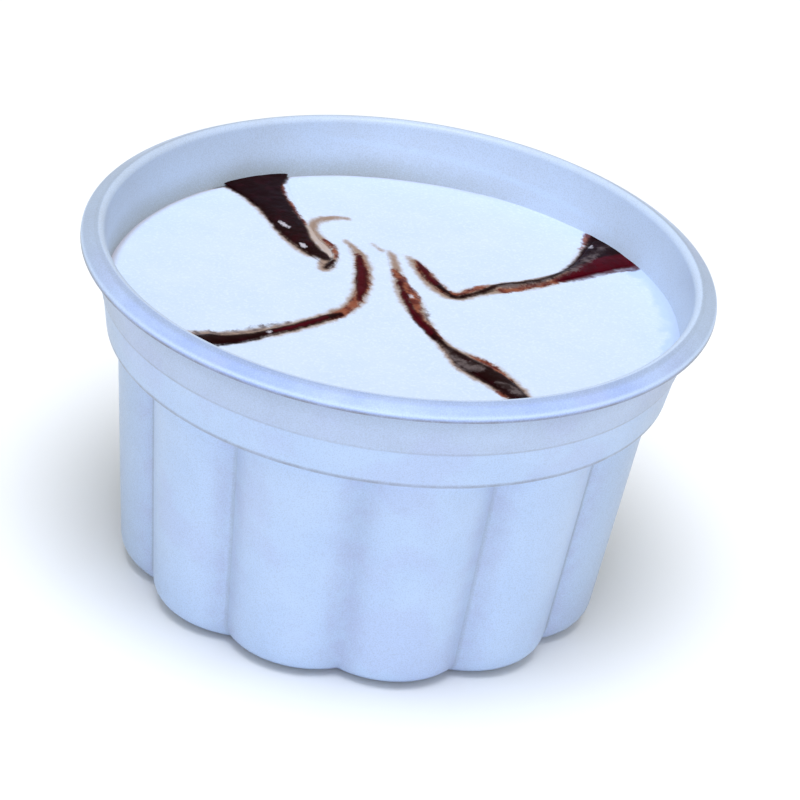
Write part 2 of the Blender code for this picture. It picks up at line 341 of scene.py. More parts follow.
def from_crown(point):
    """A point's angle from the middle of its flute, never below zero."""
    half = math.pi / FLUTES
    return abs(math.atan2(point.y, point.x) % (2 * half) - half)


def press_flutes(top, steps):
    """Draw the points at or below top in to the flutes' plan, one row of each flute at a time."""
    half = math.pi / FLUTES
    rows = steps // 2
    for row in range(1, rows + 1):
        angle = half * row / rows
        pick("VERT", lambda v: v.co.z < top and abs(from_crown(v.co) - angle) < half / rows / 4)
        scale = flute_scale(angle)
        bpy.ops.transform.resize(value=(scale, scale, 1), center_override=(0, 0, 0))


def apply_all(piece):
    bpy.context.view_layer.objects.active = piece
    for modifier in list(piece.modifiers):
        bpy.ops.object.modifier_apply(modifier=modifier.name)


# The cup


def turn_outward(cup):
    """An open sheet has no inside of its own, so the base decides: its faces must look down."""
    form = bmesh.from_edit_mesh(cup.data)
    lowest = min(form.faces, key=lambda face: face.calc_center_median().z)
    if lowest.normal.z > 0:
        bpy.ops.mesh.flip_normals()


def flange_rings():
    """Underside of the flange: up over the crest about the mouth, down its slope and down the lip."""
    slope = math.radians(FLANGE_SLOPE)
    crest_z = HEIGHT - WALL - CREST_ROUND
    lean = math.atan2(CREST_RADIUS - CREST_ROUND - UPPER_BAND_RADIUS, crest_z - LEDGE_Z)
    crest = arc(
        (CREST_RADIUS, crest_z), CREST_ROUND, 180 - math.degrees(lean), 90 - FLANGE_SLOPE, CREST_STEPS
    )
    lip_radius = RIM_RADIUS - WALL - LIP_ROUND
    fall = ((lip_radius - CREST_RADIUS) * math.sin(slope) + LIP_ROUND - CREST_ROUND) / math.cos(slope)
    lip = arc((lip_radius, crest_z - fall), LIP_ROUND, 90 - FLANGE_SLOPE, 0, LIP_STEPS)
    return [*crest, *lip, (RIM_RADIUS - WALL, LIP_EDGE_Z)]


def model_cup():
    """One thin shell: fluted body and foot first, then the collar and flange, bridged at the step."""
    deselect_all()
    bpy.ops.mesh.primitive_circle_add(
        vertices=FLUTES * FLUTE_STEPS, radius=BODY_TOP_RADIUS, fill_type="NOTHING"
    )
    cup = name_piece("cup_shell")
    bpy.ops.object.mode_set(mode="EDIT")
    press_flutes(HEIGHT, FLUTE_STEPS)
    bpy.ops.mesh.select_all(action="SELECT")
    bpy.ops.transform.translate(value=(0, 0, BODY_TOP_Z))
    draft = math.atan2(BODY_TOP_RADIUS - BODY_FOOT_RADIUS, BODY_TOP_Z)
    corner = BODY_FOOT_RADIUS - FOOT_ROUND * math.tan((math.pi / 2 - draft) / 2)
    foot = arc((corner, FOOT_ROUND), FOOT_ROUND, -math.degrees(draft), -90, FOOT_STEPS)
    draw_rings((BODY_TOP_RADIUS, BODY_TOP_Z), foot + [(corner * share, 0) for share in BASE_RINGS])
    bpy.ops.mesh.extrude_region_move()
    bpy.ops.mesh.merge(type="CENTER")

    collar_foot = COLLAR_FOOT_Z - STEP_ROUND
    bpy.ops.mesh.primitive_circle_add(
        vertices=FLUTES * FLUTE_STEPS,
        radius=COLLAR_FOOT_RADIUS - STEP_ROUND,
        fill_type="NOTHING",
        location=(0, 0, collar_foot),
    )
    step = arc((COLLAR_FOOT_RADIUS - STEP_ROUND, COLLAR_FOOT_Z), STEP_ROUND, -90, 0, STEP_STEPS)
    collar = [
        *step[1:],
        (LOWER_BAND_RADIUS, LEDGE_Z - LEDGE_HEIGHT),
        (UPPER_BAND_RADIUS, LEDGE_Z),
        *flange_rings(),
    ]
    draw_rings((COLLAR_FOOT_RADIUS - STEP_ROUND, collar_foot), collar)
    pick("EDGE", lambda e: e.is_boundary and max(v.co.z for v in e.verts) < COLLAR_FOOT_Z)
    bpy.ops.mesh.bridge_edge_loops()
    bpy.ops.mesh.select_all(action="SELECT")
    bpy.ops.mesh.remove_doubles(threshold=CLOSE)
    bpy.ops.mesh.normals_make_consistent(inside=False)
    turn_outward(cup)
    bpy.ops.object.mode_set(mode="OBJECT")

    crease = cup.modifiers.new("crease", "BEVEL")
    crease.width = CREASE_ROUND
    crease.segments = BEVEL_STEPS
    crease.limit_method = "ANGLE"
    crease.angle_limit = SOFT_ANGLE
    wall = cup.modifiers.new("wall", "SOLIDIFY")
    wall.thickness = WALL
    wall.offset = -1.0
    wall.use_even_offset = True
    lip = cup.modifiers.new("lip", "BEVEL")
    lip.width = LIP_EDGE_ROUND
    lip.segments = BEVEL_STEPS
    lip.limit_method = "ANGLE"
    lip.angle_limit = LIP_ANGLE
    apply_all(cup)
    bpy.ops.object.shade_smooth_by_angle(angle=SOFT_ANGLE)
    return cup


def mark_inside(cup):
    """Store on the cup which of its points face its axis."""
    inside = cup.data.attributes.new("inside", "FLOAT", "POINT")
    for index, vertex in enumerate(cup.data.vertices):
        inward = -(vertex.normal.x * vertex.co.x + vertex.normal.y * vertex.co.y)
        inside.data[index].value = 1.0 if inward > 0 else 0.0


# The gelato


def side_share(across, back):
    """How far a point at the brim takes part, on the side of the cup that (across, back) points to."""

    def share(point):
        radius = math.hypot(point.x, point.y)
        if point.z < FILL_Z - TOP_DEPTH or radius < BRIM_RADIUS - BRIM_REACH:
            return 0.0
        side = (point.x * across + point.y * back) / radius / math.hypot(across, back)
        near = (radius - BRIM_RADIUS + BRIM_REACH) / BRIM_REACH
        return max(0.0, min(1.0, side + SIDE_BLUR)) * min(1.0, near) ** 2

    return share


def model_gelato():
    """A turned block whose top is finely cut, with its side reaching just into the cup's wall."""
    deselect_all()
    bpy.ops.mesh.primitive_circle_add(vertices=3, radius=0.001, fill_type="NOTHING", location=(0, 0, FILL_Z))
    gelato = name_piece("gelato_fill")
    bpy.ops.object.transform_apply(location=True, rotation=True, scale=True)
    bpy.ops.object.mode_set(mode="EDIT")
    bpy.ops.mesh.select_mode(type="VERT")
    bpy.ops.mesh.select_all(action="SELECT")
    bpy.ops.mesh.merge(type="CENTER")
    brim = BRIM_RADIUS + BRIM_BITE
    inner_step = COLLAR_FOOT_Z + 0.4 * WALL
    foot = BODY_FOOT_RADIUS - WALL
    profile = [
        *[(brim - inset, FILL_Z) for inset in BRIM_INSETS],
        (brim, FILL_Z),
        (COLLAR_FOOT_RADIUS - 0.6 * WALL, inner_step + STEP_ROUND),
        (BODY_TOP_RADIUS - WALL, inner_step),
        (foot, FOOT_ROUND),
        (foot - 0.3 * FOOT_ROUND, 0.4 * FOOT_ROUND),
        (foot - FOOT_ROUND, 2 * WALL),
        (0.0, 2 * WALL),
    ]
    radius, height = 0.0, FILL_Z
    for next_radius, next_height in profile:
        move = (next_radius - radius, 0, next_height - height)
        bpy.ops.mesh.extrude_region_move(TRANSFORM_OT_translate={"value": move})
        radius, height = next_radius, next_height
    flat = brim - FLAT_INSET
    pick("EDGE", lambda e: all(abs(v.co.z - FILL_Z) < CLOSE and v.co.x < flat for v in e.verts))
    bpy.ops.mesh.subdivide(number_cuts=FILL_RINGS - 1)
    bpy.ops.mesh.select_all(action="SELECT")
    bpy.ops.mesh.spin(steps=FILL_STEPS, angle=2 * math.pi, center=(0, 0, 0), axis=(0, 0, 1))
    bpy.ops.mesh.select_all(action="SELECT")
    bpy.ops.mesh.remove_doubles(threshold=TURNED_CLOSE)
    bpy.ops.mesh.normals_make_consistent(inside=False)
    press_flutes(inner_step + 0.2 * WALL, FILL_STEPS // FLUTES)
    bpy.ops.object.mode_set(mode="OBJECT")

    top = gelato.vertex_groups.new(name="top")
    top.add([v.index for v in gelato.data.vertices if v.co.z > FILL_Z - TOP_MARGIN], 1.0, "REPLACE")
    swell = bpy.data.textures.new("swell", "CLOUDS")
    swell.noise_scale = FILL_WAVE_SIZE
    swell.noise_depth = 3
    wave = gelato.modifiers.new("wave", "DISPLACE")
    wave.texture = swell
    wave.texture_coords = "LOCAL"
    wave.direction = "Z"
    wave.strength = FILL_WAVE
    wave.mid_level = 0.5
    wave.vertex_group = "top"
    changes = (("sag", SAG_SIDE, -BRIM_SAG), ("climb", CLIMB_SIDE, BRIM_CLIMB))
    for name, side, rise in changes:
        reach = side_share(*side)
        group = gelato.vertex_groups.new(name=name)
        for vertex in gelato.data.vertices:
            share = reach(vertex.co)
            if share > 0:
                group.add([vertex.index], share, "REPLACE")
        move = gelato.modifiers.new(name, "DISPLACE")
        move.direction = "Z"
        move.mid_level = 0.0
        move.strength = rise
        move.vertex_group = name
    apply_all(gelato)
    bpy.ops.object.shade_smooth_by_angle(angle=FILL_SOFT_ANGLE)
    return gelato


# The chocolate ripple


def smooth_route(stations, step):
    """The same route with a station about every step, on a smooth curve through the given ones."""
    knots = np.array(stations)
    ends = np.vstack([2 * knots[0] - knots[1], knots, 2 * knots[-1] - knots[-2]])
    route = []
    for index in range(len(knots) - 1):
        before, start, end, after = ends[index : index + 4]
        count = max(1, round(np.hypot(*(end - start)[:2]) / step))
        for share in np.arange(count) / count:
            route.append(
                0.5
                * (
                    2 * start
                    + (end - before) * share
                    + (2 * before - 5 * start + 4 * end - after) * share**2
                    + (3 * start - before - 3 * end + after) * share**3
                )
            )
    route.append(knots[-1])
    return np.array(route)


def arm_route(stations):
    route = smooth_route(stations, RIPPLE_STEP / MM)
    route[:, :3] *= MM
    return route


def headings(route):
    ahead = np.gradient(route[:, :2], axis=0)
    return np.arctan2(ahead[:, 1], ahead[:, 0])


def arm_height(station):
    return RIPPLE_RISE * (RIPPLE_LEAST_RISE + (1 - RIPPLE_LEAST_RISE) * station[3])


def model_arm(name, stations):
    """A flat ribbon of chocolate: one round section carried along its route and resized at each station."""
    route = arm_route(stations)
    turns = headings(route)
    x, y, half_width = route[0][:3]
    deselect_all()
    bpy.ops.mesh.primitive_circle_add(
        vertices=RIPPLE_SIDES,
        radius=half_width,
        fill_type="NGON",
        location=(x, y, FILL_Z),
        rotation=(math.pi / 2, 0, turns[0] + math.pi / 2),
    )
    arm = name_piece(name)
    bpy.ops.object.transform_apply(location=True, rotation=True, scale=True)
    bpy.ops.object.mode_set(mode="EDIT")
    bpy.ops.mesh.select_all(action="SELECT")
    bpy.ops.transform.resize(value=(1, 1, arm_height(route[0]) / half_width), center_override=(x, y, FILL_Z))
    for index in range(1, len(route)):
        here, there = route[index - 1], route[index]
        move = (there[0] - here[0], there[1] - here[1], 0)
        centre = (there[0], there[1], FILL_Z)
        wider = there[2] / here[2]
        taller = arm_height(there) / arm_height(here)
        turn = (turns[index] - turns[index - 1] + math.pi) % (2 * math.pi) - math.pi
        bpy.ops.mesh.extrude_region_move(TRANSFORM_OT_translate={"value": move})
        bpy.ops.transform.resize(value=(wider, wider, taller), center_override=centre)
        bpy.ops.transform.rotate(value=-turn, orient_axis="Z", center_override=centre)
    bpy.ops.mesh.select_all(action="SELECT")
    bpy.ops.mesh.normals_make_consistent(inside=False)
    bpy.ops.object.mode_set(mode="OBJECT")
    smooth = arm.modifiers.new("smooth", "SUBSURF")
    smooth.levels = RIPPLE_SMOOTHING
    smooth.render_levels = RIPPLE_SMOOTHING
    lumps = bpy.data.textures.new(name + "_lumps", "CLOUDS")
    lumps.noise_scale = LUMP_SIZE
    lumps.noise_depth = 2
    uneven = arm.modifiers.new("uneven", "DISPLACE")
    uneven.texture = lumps
    uneven.texture_coords = "LOCAL"
    uneven.direction = "NORMAL"
    uneven.strength = LUMP_HEIGHT
    uneven.mid_level = 0.5
    apply_all(arm)
    trim_to_brim(arm)
    bpy.ops.object.shade_smooth()
    return arm


def trim_to_brim(arm):
    """Cut an arm off just inside the cup's wall."""
    deselect_all()
    bpy.ops.mesh.primitive_cylinder_add(
        vertices=FILL_STEPS, radius=BRIM_RADIUS + BRIM_BITE, depth=DRUM_HEIGHT, location=(0, 0, FILL_Z)
    )
    drum = bpy.context.object
    trim = arm.modifiers.new("trim", "BOOLEAN")
    trim.operation = "INTERSECT"
    trim.solver = "EXACT"
    trim.object = drum
    deselect_all()
    arm.select_set(True)
    apply_all(arm)
    bpy.data.objects.remove(drum, do_unlink=True)


# Where each colour of the ripple lies


def band_edge(points, band):
    """Distance of each point outside the nearest route of a band, in millimetres, below zero inside it."""
    edge = np.full(len(points), BAND_FAR)
    for stations in band:
        route = smooth_route(stations, BAND_STEP)
        for start, end in zip(route[:-1], route[1:]):
            along = end[:2] - start[:2]
            share = np.clip(((points - start[:2]) @ along) / (along @ along), 0, 1)
            away = np.hypot(*(points - start[:2] - share[:, None] * along).T)
            edge = np.minimum(edge, away - (start[2] + (end[2] - start[2]) * share))
    return edge


def plan_points(piece):
    places = np.empty(len(piece.data.vertices) * 3, dtype=np.float32)
    piece.data.vertices.foreach_get("co", places)
    return places.reshape(-1, 3)[:, :2].astype(float)


def mark_bands(piece):
    """Store on a piece how far each of its points lies from each colour of the ripple."""
    points = plan_points(piece) / MM
    for name, band in BANDS.items():
        attribute = piece.data.attributes.new(name, "FLOAT", "POINT")
        attribute.data.foreach_set("value", band_edge(points, band).astype(np.float32))


# Materials

# Colours of the plastic, of the gelato and of the ripple over it.
CUP_FILLED = (0.495, 0.64, 0.905)
# Painted shade: the plastic above the gelato's level, greyer and darker where no gelato lights the wall from
# behind.
CUP_EMPTY_SHADE = (0.475, 0.57, 0.77)
# Painted light: the inside of the wall, paler and less blue.
CUP_INSIDE_LIT = (0.56, 0.645, 0.80)
# Painted shade: the front of the rim, darker and bluer.
CUP_RIM_FRONT_SHADE = (0.32, 0.43, 0.81)
CUP_SHADE = (0.27, 0.32, 0.36)
# Painted shadow: olive grey on the inner wall just above the gelato.
CUP_WALL_SHADOW = (0.30, 0.32, 0.30)
# Painted shadow in thin lines at the cup's steps and under its lip.
CUP_SHADOW_LINE = (0.20, 0.19, 0.21)
# The plastic's milky clouds and specks, and also the colour of painted light and highlights.
CUP_MILK_AND_PAINTED_LIGHT = (0.60, 0.74, 0.98)
# The plastic's lilac smudges, and painted shade near the creases.
CUP_LILAC_AND_SHADE = (0.46, 0.51, 0.79)
GELATO_WHITE = (0.64, 0.73, 0.90)
GELATO_SHADE = (0.605, 0.705, 0.90)
GELATO_ICE = (0.72, 0.81, 0.97)
GELATO_THIN = (0.50, 0.62, 0.87)
# Painted shade: the gelato's edge near the wall at the left and back.
GELATO_RING_SHADOW = (0.48, 0.43, 0.45)
FILM_THIN = (0.56, 0.50, 0.47)
FILM_THICK = (0.31, 0.195, 0.125)
RUST_LIGHT = (0.26, 0.074, 0.036)
RUST_DEEP = (0.10, 0.011, 0.008)
CREAM_TAN = (0.52, 0.42, 0.37)
NEAR_BLACK = (0.010, 0.0005, 0.001)
MAROON = (0.02, 0.001, 0.003)
WINE_RED = (0.07, 0.001, 0.006)
# Colour of the painted sheen.
SHEEN_GREY = (0.13, 0.10, 0.10)
# Colour of the painted glints.
GLINT_WHITE = (0.60, 0.56, 0.62)

# The ripple's bands, from the lowest to the top one.
BANDS = {
    "film": FILM,
    "rust": RUST,
    "cream": CREAM,
    "dark": DARK,
    "wine": WINE,
    "sheen": SHEEN,
    "glint": GLINTS,
}

# For each band, in millimetres: how ragged and how crumbly its edge is, how far outside its edge it starts
# and how far inside it is full; and last its greatest cover, from 0 to 1.
COVERS = {
    "film": (0.5, 0.2, 0.6, 1.0, 1.0),
    "rust": (0.6, 0.45, 0.35, 0.6, 0.95),
    "cream": (0.4, 0.2, 0.3, 0.4, 0.9),
    "dark": (0.3, 0.18, 0.35, 0.6, 1.0),
    "wine": (0.4, 0.25, 0.3, 0.7, 0.9),
    "sheen": (0.6, 0.9, 0.35, 0.8, 0.9),
    "glint": (0.3, 0.4, 0.25, 0.4, 0.85),
}
EDGE_SOFTNESS = 2.2
FILM_STAIN = 0.92
RUST_WETNESS = 0.7
RAGGED_SIZE = 0.0014
CRUMB_SIZE = 0.0004
MOTTLE_SIZE = 0.0016

# Sizes of the plastic's marks in metres, and the least radius that a mark is measured from.
LEAST_RADIUS = 0.0001
CLOUD_SIZE = 0.009
SMUDGE_SIZE = 0.013
BLOTCH_SIZE = 0.003
SATIN_SIZE = 0.0006
SPECK_SIZE = 0.0002
LEVEL_WANDER = 0.0006
CREASE_LINE = (0.0001, 0.0008)
CREASE_HALO_WIDTH = 0.0055
CREASE_LILAC_SHADE_WIDTH = 0.005
UNDER_COLLAR_FOLD = 0.006
UNDER_COLLAR_DROP = 0.007
FOOT_LINE_WIDTH = 0.0006
LEDGE_LINE_WIDTH = 0.0004
LINE_DROP = 0.0001
UNDER_LIP_HEIGHTS = (0.0470, 0.0512)
UNDER_LIP_RADII = (0.0456, 0.0462)
LIP_RADII = (0.0462, 0.0468)
LIP_HEIGHTS = (LIP_EDGE_Z + 0.0002, LIP_EDGE_Z + 0.0005)
LOW_SHADE_TOP = 0.0022
WALL_SHADOW_HEIGHT = 0.0045
WALL_HIGHLIGHT_HEIGHT = 0.0496
WALL_HIGHLIGHT_TILT = 0.0032
WALL_HIGHLIGHT_WIDTH = 0.0009
GLEAM_HEIGHT = LIP_EDGE_Z + 0.0008
GLEAM_WIDTH = 0.0004
GLEAM_RADII = (0.0458, 0.0464)
SATIN_DEPTH = 0.00003
SATIN_ROUGHNESS = (0.32, 0.46)
CUP_ROUGHNESS = 0.36
CUP_GLOSS = 0.35

# How strong each of those marks is, from 0 to 1.
RIM_FRONT_SHADE = 0.9
CLOUD_MILK = 0.3
BLOTCH_SHADE = 0.05
SMUDGE_LILAC = 0.28
CREASE_LILAC_SHADE = 0.55
CREASE_SHADE = 0.6
CREASE_HALO = 0.2
UNDER_COLLAR_SHADE = 0.3
UNDER_LIP_SHADE = 0.42
LOW_SHADE = 0.4
FAR_SIDE_SHADE = 0.32
FOOT_SHADOW_LINE = 0.7
LIP_SHADOW_LINE = 0.85
WALL_SHADOW_STRENGTH = 0.6
INNER_LEFT_SHADE = 0.18
INNER_RIGHT_LIGHT = 0.4
WALL_HIGHLIGHT = 0.55
GLEAM_HIGHLIGHT = 0.8
SPECKLE = 0.2

# The gelato's patches, in metres, and how strong they are.
GELATO_CLOUD_SIZE = 0.007
GELATO_SPECK_SIZE = 0.0004
GELATO_WANDER_SIZE = 0.003
GELATO_WANDER = 0.0016
GELATO_ICE_SHARE = 0.6
THIN_RADII = (0.0402, 0.0420)
RING_SHADOW_RADII = (0.0414, 0.0430)
BRIM_STAIN_AND_SHADE = 0.85

# How rough the gelato and the chocolate are, dry and wet, and the fine pits in them, in metres.
DRY_GELATO = 0.55
WET_GELATO = 0.34
DRY_CHOCOLATE = 0.5
WET_CHOCOLATE = 0.3
ICE_PIT_SIZE = 0.0007
ICE_PIT_DEPTH = 0.00012
RIPPLE_PIT_SIZE = 0.0009
RIPPLE_PIT_DEPTH = 0.0001
RIPPLE_GLOSS = 0.03


def new_material(name, base, roughness):
    material = bpy.data.materials.new(name)
    material.use_nodes = True
    shader = material.node_tree.nodes["Principled BSDF"]
    shader.inputs["Base Color"].default_value = (*base, 1)
    shader.inputs["Roughness"].default_value = roughness
    return material, material.node_tree, shader


def grain_group():
    """Fine unevenness on Object coordinates: a mask from 0 to 1, in one size with finer detail in it."""
    group = bpy.data.node_groups.new("surface_grain", "ShaderNodeTree")
    group.interface.new_socket("Size", in_out="INPUT", socket_type="NodeSocketFloat")
    group.interface.new_socket("Detail", in_out="INPUT", socket_type="NodeSocketFloat")
    group.interface.new_socket("Mask", in_out="OUTPUT", socket_type="NodeSocketFloat")
    enter = group.nodes.new("NodeGroupInput")
    leave = group.nodes.new("NodeGroupOutput")
    place = group.nodes.new("ShaderNodeTexCoord")
    scale = group.nodes.new("ShaderNodeMath")
    scale.operation = "DIVIDE"
    scale.inputs[0].default_value = 1.0
    noise = group.nodes.new("ShaderNodeTexNoise")
    group.links.new(enter.outputs["Size"], scale.inputs[1])
    group.links.new(place.outputs["Object"], noise.inputs["Vector"])
    group.links.new(scale.outputs[0], noise.inputs["Scale"])
    group.links.new(enter.outputs["Detail"], noise.inputs["Detail"])
    group.links.new(noise.outputs["Fac"], leave.inputs["Mask"])
    return group


def add_grain(tree, group, size, detail):
    node = tree.nodes.new("ShaderNodeGroup")
    node.node_tree = group
    node.inputs["Size"].default_value = size
    node.inputs["Detail"].default_value = detail
    return node.outputs["Mask"]


def add_math(tree, operation, first, second):
    node = tree.nodes.new("ShaderNodeMath")
    node.operation = operation
    for socket, value in zip(node.inputs, (first, second)):
        if isinstance(value, (int, float)):
            socket.default_value = value
        else:
            tree.links.new(value, socket)
    return node.outputs[0]


def add_product(tree, first, *others):
    """All the masks multiplied together."""
    for other in others:
        first = add_math(tree, "MULTIPLY", first, other)
    return first


def add_strongest(tree, first, *others):
    """The strongest of the masks at each point."""
    for other in others:
        first = add_math(tree, "MAXIMUM", first, other)
    return first


def add_range(tree, value, low, high, to_low, to_high, soft=False):
    node = tree.nodes.new("ShaderNodeMapRange")
    node.interpolation_type = "SMOOTHSTEP" if soft else "LINEAR"
    node.inputs["From Min"].default_value = low
    node.inputs["From Max"].default_value = high
    node.inputs["To Min"].default_value = to_low
    node.inputs["To Max"].default_value = to_high
    tree.links.new(value, node.inputs["Value"])
    return node.outputs["Result"]


def add_mix(tree, factor, first, second):
    node = tree.nodes.new("ShaderNodeMix")
    node.data_type = "RGBA"
    tree.links.new(factor, node.inputs["Factor"])
    for socket, value in ((node.inputs[6], first), (node.inputs[7], second)):
        if isinstance(value, tuple):
            socket.default_value = (*value, 1)
        else:
            tree.links.new(value, socket)
    return node.outputs[2]


def add_bump(tree, shader, height, distance, strength):
    bump = tree.nodes.new("ShaderNodeBump")
    bump.inputs["Distance"].default_value = distance
    bump.inputs["Strength"].default_value = strength
    tree.links.new(height, bump.inputs["Height"])
    tree.links.new(bump.outputs["Normal"], shader.inputs["Normal"])


def add_attribute(tree, name):
    node = tree.nodes.new("ShaderNodeAttribute")
    node.attribute_name = name
    return node.outputs["Fac"]


def ripple_group(grain):
    """The ripple's colour and wetness from the distances to its bands, laid over the gelato's colour."""
    group = bpy.data.node_groups.new("ripple_paint", "ShaderNodeTree")
    group.interface.new_socket("Gelato", in_out="INPUT", socket_type="NodeSocketColor")
    for name in BANDS:
        group.interface.new_socket(name.capitalize(), in_out="INPUT", socket_type="NodeSocketFloat")
    group.interface.new_socket("Colour", in_out="OUTPUT", socket_type="NodeSocketColor")
    group.interface.new_socket("Wet", in_out="OUTPUT", socket_type="NodeSocketFloat")
    enter = group.nodes.new("NodeGroupInput")
    leave = group.nodes.new("NodeGroupOutput")
    coarse = add_grain(group, grain, RAGGED_SIZE, 1.0)
    fine = add_grain(group, grain, CRUMB_SIZE, 2.0)
    mottle = add_grain(group, grain, MOTTLE_SIZE, 3.0)

    def cover(name):
        """Mask of a band, soft at its edge in the way that the eye sees it."""
        ragged, crumbly, outside, inside, most = COVERS[name]
        edge = enter.outputs[name.capitalize()]
        edge = add_math(group, "ADD", edge, add_range(group, coarse, 0, 1, -ragged, ragged))
        edge = add_math(group, "ADD", edge, add_range(group, fine, 0, 1, -crumbly, crumbly))
        bare = add_range(group, edge, outside, -inside, 1, 0, soft=True)
        bare = add_math(group, "POWER", bare, EDGE_SOFTNESS)
        return add_product(group, add_math(group, "SUBTRACT", 1, bare), most)

    film = cover("film")
    tone = add_mix(group, film, FILM_THIN, FILM_THICK)
    colour = add_mix(group, add_product(group, film, FILM_STAIN), enter.outputs["Gelato"], tone)
    rust = cover("rust")
    rusty = add_mix(group, add_range(group, mottle, 0.42, 0.58, 0, 1), RUST_DEEP, RUST_LIGHT)
    colour = add_mix(group, rust, colour, rusty)
    colour = add_mix(group, cover("cream"), colour, CREAM_TAN)
    dark = cover("dark")
    black = add_mix(group, add_range(group, mottle, 0.5, 0.7, 0, 1), NEAR_BLACK, MAROON)
    colour = add_mix(group, dark, colour, black)
    wine = add_product(group, cover("wine"), add_range(group, mottle, 0.38, 0.55, 0.7, 1))
    colour = add_mix(group, wine, colour, WINE_RED)
    # Painted reflection: grey-brown sheen, mottled.
    sheen = add_product(group, cover("sheen"), add_range(group, mottle, 0.42, 0.58, 0.15, 1))
    colour = add_mix(group, sheen, colour, SHEEN_GREY)
    # Painted highlights: white glints over the chocolate.
    colour = add_mix(group, cover("glint"), colour, GLINT_WHITE)
    group.links.new(colour, leave.inputs["Colour"])
    wet = add_strongest(group, dark, wine, add_product(group, rust, RUST_WETNESS))
    group.links.new(wet, leave.inputs["Wet"])
    return group


def add_ripple(tree, group, gelato):
    node = tree.nodes.new("ShaderNodeGroup")
    node.node_tree = group
    tree.links.new(gelato, node.inputs["Gelato"])
    for name in BANDS:
        tree.links.new(add_attribute(tree, name), node.inputs[name.capitalize()])
    return node.outputs["Colour"], node.outputs["Wet"]


def place_group():
    """Where a point lies round the axis: height, radius and turn, and how far right and back it points."""
    group = bpy.data.node_groups.new("round_axis", "ShaderNodeTree")
    for name in ("Height", "Radius", "Turn", "Right", "Back"):
        group.interface.new_socket(name, in_out="OUTPUT", socket_type="NodeSocketFloat")
    leave = group.nodes.new("NodeGroupOutput")
    place = group.nodes.new("ShaderNodeTexCoord")
    split = group.nodes.new("ShaderNodeSeparateXYZ")
    group.links.new(place.outputs["Object"], split.inputs["Vector"])
    across, back, height = split.outputs
    squares = [add_math(group, "MULTIPLY", value, value) for value in (across, back)]
    radius = add_math(group, "POWER", add_math(group, "ADD", *squares), 0.5)
    radius = add_math(group, "MAXIMUM", radius, LEAST_RADIUS)
    values = {
        "Height": height,
        "Radius": radius,
        "Turn": add_math(group, "ARCTAN2", back, across),
        "Right": add_math(group, "DIVIDE", across, radius),
        "Back": add_math(group, "DIVIDE", back, radius),
    }
    for name, value in values.items():
        group.links.new(value, leave.inputs[name])
    return group


def add_place(tree, group):
    node = tree.nodes.new("ShaderNodeGroup")
    node.node_tree = group
    return node.outputs


def add_facing(tree, place, right, back, low, high):
    """Mask of the side of the cup that points the way (right, back) does."""
    across = add_math(tree, "MULTIPLY", place["Right"], right)
    along = add_math(tree, "MULTIPLY", place["Back"], back)
    return add_range(tree, add_math(tree, "ADD", across, along), low, high, 0, 1, soft=True)


def add_line(tree, value, centre, half, strength):
    """Mask of a soft line round the cup where a value passes its centre."""
    away = add_math(tree, "ABSOLUTE", add_math(tree, "SUBTRACT", value, centre), 0)
    return add_range(tree, away, 0, half, strength, 0, soft=True)


def read_cup(tree, grain, round_axis):
    """What the plastic's marks are drawn from: where a point lies, and how uneven the plastic is there."""
    place = add_place(tree, round_axis)
    height = place["Height"]
    inside = add_attribute(tree, "inside")
    cloud = add_grain(tree, grain, CLOUD_SIZE, 3.0)
    blotch = add_grain(tree, grain, BLOTCH_SIZE, 3.0)
    turn = add_math(tree, "PINGPONG", place["Turn"], math.pi / FLUTES)
    return {
        "place": place,
        "height": height,
        "radius": place["Radius"],
        "inside": inside,
        "outside": add_math(tree, "SUBTRACT", 1, inside),
        "cloud": cloud,
        "blotch": blotch,
        "ragged": add_range(tree, blotch, 0.35, 0.65, 0.6, 1),
        "level": add_math(tree, "ADD", height, add_range(tree, cloud, 0, 1, -LEVEL_WANDER, LEVEL_WANDER)),
        "sides": add_math(tree, "ABSOLUTE", place["Right"], 0),
        "fold": add_product(tree, turn, place["Radius"]),
        "body": add_range(tree, height, COLLAR_FOOT_Z - 0.0002, COLLAR_FOOT_Z - 0.0009, 0, 1),
    }


